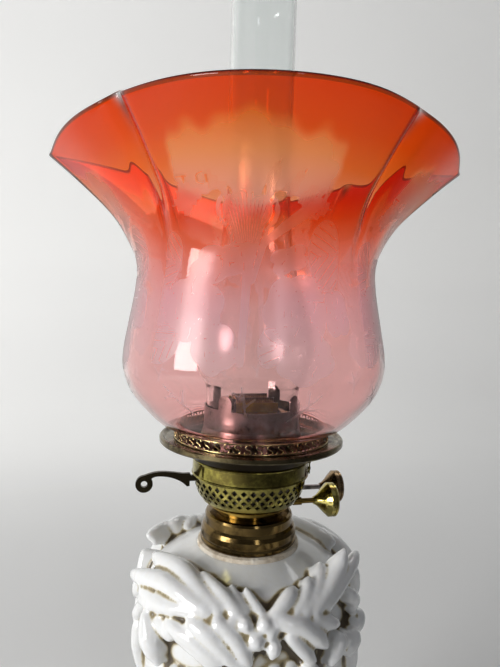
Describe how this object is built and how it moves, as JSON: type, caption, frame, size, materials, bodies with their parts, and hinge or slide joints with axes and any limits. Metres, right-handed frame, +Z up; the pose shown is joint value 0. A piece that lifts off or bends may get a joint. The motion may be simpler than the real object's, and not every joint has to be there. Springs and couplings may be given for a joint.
{
  "type": "oil lamp",
  "caption": "Tall table oil lamp: ceramic base moulded with leaves, duplex brass burner with winders and a snuffer lever, crimped tulip glass shade and a clear chimney.",
  "frame": {"origin": "middle of the underside of the ceramic foot", "axes": "+Z up along the lamp's axis, +X towards the winder knobs, -Y towards the front"},
  "size_m": [0.2726, 0.2726, 0.6532],
  "materials": {
    "ceramic": "glossy white glaze, brown in the hollows of the relief",
    "cement": "matt, uneven",
    "bronze": "dark brown tarnish, rubbed on the edges",
    "brass": "aged, half tarnished",
    "polished_brass": "polished",
    "burner_steel": "dark, dull",
    "shade_glass": "pink to amber, partly etched",
    "clear_glass": "clear",
    "cotton": "woven, scorched at the top"
  },
  "bodies": {
    "base": {"ceramic_body": "ceramic", "cement_ring": "cement", "mount_collar": "bronze"},
    "burner": {"burner_neck": "brass", "bayonet_pins": "burner_steel", "air_basket": "brass", "polished_band": "polished_brass", "tube_plate": "burner_steel", "wick_tube_front": "burner_steel", "wick_tube_rear": "burner_steel", "spindle_bracket": "burner_steel", "spindle_bushes": "brass", "lever_bracket": "burner_steel", "lever_pin": "brass", "latch_tab": "polished_brass", "latch_rivets": "brass"},
    "gallery": {"shade_ring": "bronze", "shade_coronet": "bronze", "gallery_cone": "burner_steel", "chimney_cup": "burner_steel", "flame_dome": "brass"},
    "tulip_shade": {"shade": "shade_glass"},
    "glass_chimney": {"chimney": "clear_glass"},
    "front_winder": {"front_spindle": "burner_steel", "front_spur_wheels": "burner_steel", "front_knob": "brass"},
    "rear_winder": {"rear_spindle": "burner_steel", "rear_spur_wheels": "burner_steel", "rear_knob": "brass"},
    "front_wick_strip": {"front_wick": "cotton"},
    "rear_wick_strip": {"rear_wick": "cotton"},
    "extinguisher_lever": {"snuffer_lever": "bronze"},
    "snuffer": {"snuffer_sleeves": "burner_steel", "lift_rod": "burner_steel"},
    "front_snuffer_flap": {"front_flap": "brass"},
    "rear_snuffer_flap": {"rear_flap": "brass"}
  },
  "joints": [
    {"name": "burner_turn", "type": "hinge", "parent": "base", "child": "burner", "pos_m": [0, 0, 0.2845], "axis": [0, 0, 1], "range_deg": [0, 40]},
    {"name": "gallery_lift", "type": "slide", "parent": "burner", "child": "gallery", "axis": [0, 0, 1], "range_m": [0, 0.06]},
    {"name": "shade_lift", "type": "slide", "parent": "gallery", "child": "tulip_shade", "axis": [0, 0, 1], "range_m": [0, 0.06]},
    {"name": "chimney_lift", "type": "slide", "parent": "gallery", "child": "glass_chimney", "axis": [0, 0, 1], "range_m": [0, 0.06]},
    {"name": "front_winder_turn", "type": "hinge", "parent": "burner", "child": "front_winder", "pos_m": [0.045, -0.013, 0.2998], "axis": [1, 0, 0], "range_deg": [-208, 5]},
    {"name": "rear_winder_turn", "type": "hinge", "parent": "burner", "child": "rear_winder", "pos_m": [0.045, 0.013, 0.2998], "axis": [-1, 0, 0], "range_deg": [-208, 5]},
    {"name": "front_wick_travel", "type": "slide", "parent": "burner", "child": "front_wick_strip", "axis": [0, 0, 1], "range_m": [-0.012, 0.0003]},
    {"name": "rear_wick_travel", "type": "slide", "parent": "burner", "child": "rear_wick_strip", "axis": [0, 0, 1], "range_m": [-0.012, 0.0003]},
    {"name": "lever_turn", "type": "hinge", "parent": "burner", "child": "extinguisher_lever", "pos_m": [-0.034, 0, 0.3146], "axis": [0, -1, 0], "range_deg": [0, 36]},
    {"name": "snuffer_lift", "type": "slide", "parent": "burner", "child": "snuffer", "axis": [0, 0, 1], "range_m": [0, 0.0136]},
    {"name": "front_flap_turn", "type": "hinge", "parent": "snuffer", "child": "front_snuffer_flap", "pos_m": [0, -0.015, 0.3586], "axis": [-1, 0, 0], "range_deg": [0, 90]},
    {"name": "rear_flap_turn", "type": "hinge", "parent": "snuffer", "child": "rear_snuffer_flap", "pos_m": [0, 0.015, 0.3586], "axis": [1, 0, 0], "range_deg": [0, 90]}
  ],
  "couplings": [
    {"joint": "front_wick_travel", "follows": "front_winder_turn", "m_per_rad": 0.0033},
    {"joint": "rear_wick_travel", "follows": "rear_winder_turn", "m_per_rad": 0.0033},
    {"joint": "snuffer_lift", "follows": "lever_turn", "m_per_rad": 0.0215},
    {"joint": "front_flap_turn", "follows": "lever_turn", "ratio": 2.5},
    {"joint": "rear_flap_turn", "follows": "lever_turn", "ratio": 2.5}
  ]
}
